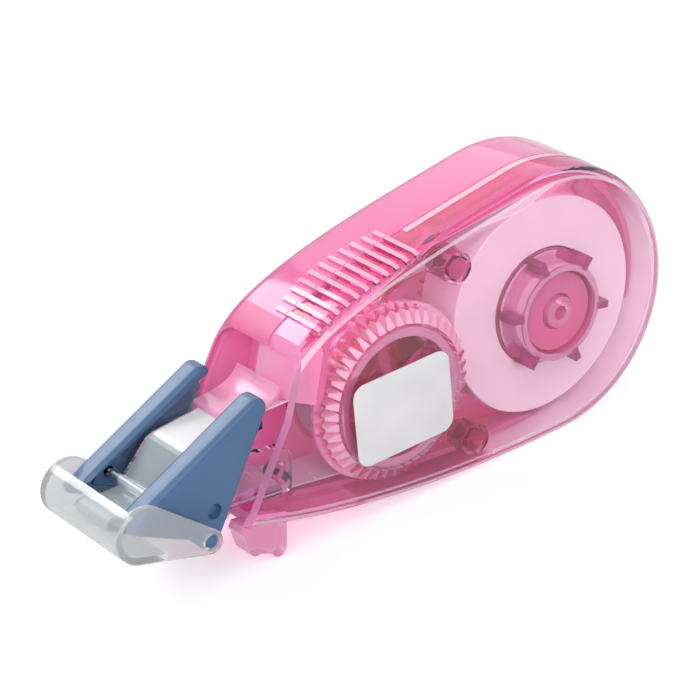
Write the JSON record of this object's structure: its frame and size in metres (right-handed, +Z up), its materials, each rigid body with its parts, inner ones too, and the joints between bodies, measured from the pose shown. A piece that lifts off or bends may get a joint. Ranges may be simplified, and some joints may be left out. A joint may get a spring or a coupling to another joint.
{
  "type": "correction tape",
  "caption": "Pocket correction tape dispenser: clear pink drop-shaped housing, two geared reels, a tape tip between blue side guards and a clear hinged tip cap",
  "frame": {"origin": "bottom centre of the bounding box, where the part stands on its feet and its rounded rear", "axes": "+X to the rounded rear, the long way; +Y to the far side, across the width; +Z up"},
  "size_m": [0.0672, 0.0132, 0.0286],
  "materials": {
    "clear_pink": "clear polished pink polystyrene",
    "deep_pink": "clear deep pink moulding",
    "white_tape": "matt white correction coating on a carrier",
    "used_film": "clear carrier film",
    "clear_grey": "clear polished plastic",
    "steel_blue": "opaque satin steel blue plastic"
  },
  "bodies": {
    "housing": {"far_shell": "clear_pink", "near_shell": "clear_pink", "white_tape": "white_tape", "return_film": "used_film", "head_frame": "clear_grey", "tip_tongue": "clear_grey", "far_guard": "steel_blue", "near_guard": "steel_blue", "far_head_pin": "steel_blue", "near_head_pin": "steel_blue"},
    "supply_wheel": {"supply_gear": "deep_pink", "clutch_ring": "deep_pink"},
    "roll": {"tape_core": "deep_pink", "tape_roll": "white_tape"},
    "idler": {"idler_gear": "deep_pink"},
    "takeup_reel": {"takeup_drum": "deep_pink", "takeup_flange": "deep_pink", "film_winding": "used_film"},
    "guide": {"guide_roller": "clear_pink"},
    "cap": {"tip_cap": "clear_grey"}
  },
  "joints": [
    {"name": "supply_spin", "type": "hinge", "parent": "housing", "child": "supply_wheel", "pos_m": [0.0202, 0, 0.0132], "axis": [0, 1, 0], "continuous": true},
    {"name": "roll_slip", "type": "hinge", "parent": "supply_wheel", "child": "roll", "pos_m": [0.0202, 0, 0.0132], "axis": [0, 1, 0], "continuous": true},
    {"name": "idler_spin", "type": "hinge", "parent": "housing", "child": "idler", "pos_m": [0.00785, 0, 0.01206], "axis": [0, 1, 0], "continuous": true},
    {"name": "takeup_spin", "type": "hinge", "parent": "housing", "child": "takeup_reel", "pos_m": [-0.00011, 0, 0.01132], "axis": [0, 1, 0], "continuous": true},
    {"name": "guide_spin", "type": "hinge", "parent": "housing", "child": "guide", "pos_m": [0.00738, 0, 0.02252], "axis": [0, 1, 0], "continuous": true},
    {"name": "cap_hinge", "type": "hinge", "parent": "housing", "child": "cap", "pos_m": [-0.02344, 0, 0.00525], "axis": [0, -1, 0], "range_deg": [0, 120]}
  ],
  "couplings": [
    {"joint": "idler_spin", "follows": "supply_spin", "ratio": -3.4286},
    {"joint": "takeup_spin", "follows": "supply_spin", "ratio": 1.8462},
    {"joint": "guide_spin", "follows": "supply_spin", "ratio": 6.9091}
  ]
}
